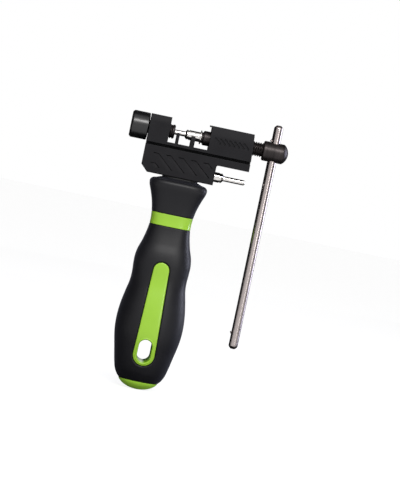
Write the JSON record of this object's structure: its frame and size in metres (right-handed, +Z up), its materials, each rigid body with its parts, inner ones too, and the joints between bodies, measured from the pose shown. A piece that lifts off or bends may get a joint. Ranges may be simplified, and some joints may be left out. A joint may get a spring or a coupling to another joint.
{
  "type": "chain tool",
  "caption": "Bicycle chain rivet tool: screw press head with roller cradles, sliding cross bar, screw-in anvil, spare pin and moulded grip.",
  "frame": {"origin": "where the press axis, along which a chain pin is pushed, meets the handle's axis", "axes": "+X along the press axis towards the cross bar, -Y out of the front face, +Z up, away from the handle"},
  "size_m": [0.0872, 0.0296, 0.1565],
  "materials": {
    "black_casting": "satin black paint",
    "black_knob": "semi-gloss black",
    "black_steel": "black oxide, oiled",
    "bar_steel": "drawn steel bar, satin",
    "bright_steel": "ground steel",
    "insert_brass": "turned",
    "black_plastic": "moulded, matt",
    "black_rubber": "soft-touch moulded rubber",
    "green_plastic": "moulded lime green, satin"
  },
  "bodies": {
    "head": {"tool_body": "black_casting", "neck_washer": "black_plastic", "tang_stud": "bright_steel", "tang_insert": "insert_brass", "handle_core": "black_plastic", "grip_collar": "black_rubber", "accent_band": "green_plastic", "grip_sleeve": "black_rubber", "end_cap": "green_plastic", "front_inlay": "green_plastic", "rear_inlay": "green_plastic", "hang_eyelet": "green_plastic"},
    "ram": {"driving_pin": "bright_steel", "pin_collar": "bright_steel", "pin_retaining_disc": "bright_steel"},
    "spindle": {"spindle_screw": "black_steel"},
    "cross_bar": {"tommy_bar": "bar_steel"},
    "anvil_tip": {"anvil_nose": "black_steel"},
    "anvil": {"anvil_screw": "black_steel", "anvil_knob": "black_knob"},
    "spare": {"spare_pin": "bright_steel", "spare_pin_collar": "bright_steel", "spare_pin_o_ring": "black_rubber"}
  },
  "joints": [
    {"name": "spindle_advance", "type": "slide", "parent": "head", "child": "ram", "axis": [1, 0, 0], "range_m": [-0.00532, 0.01282]},
    {"name": "spindle_turn", "type": "hinge", "parent": "ram", "child": "spindle", "pos_m": [0, 0, 0], "axis": [1, 0, 0], "range_deg": [-1530, 3690]},
    {"name": "cross_bar_slide", "type": "slide", "parent": "spindle", "child": "cross_bar", "axis": [0, 0, 1], "range_m": [0, 0.0944]},
    {"name": "anvil_advance", "type": "slide", "parent": "head", "child": "anvil_tip", "axis": [1, 0, 0], "range_m": [-0.00501, 0]},
    {"name": "anvil_turn", "type": "hinge", "parent": "anvil_tip", "child": "anvil", "pos_m": [0, 0, 0], "axis": [1, 0, 0], "range_deg": [-1440, 0]},
    {"name": "spare_pull", "type": "slide", "parent": "head", "child": "spare", "axis": [1, 0, 0], "range_m": [0, 0.008]}
  ],
  "couplings": [
    {"joint": "spindle_advance", "follows": "spindle_turn", "m_per_rad": 0.00019894},
    {"joint": "anvil_advance", "follows": "anvil_turn", "m_per_rad": 0.00019894}
  ]
}
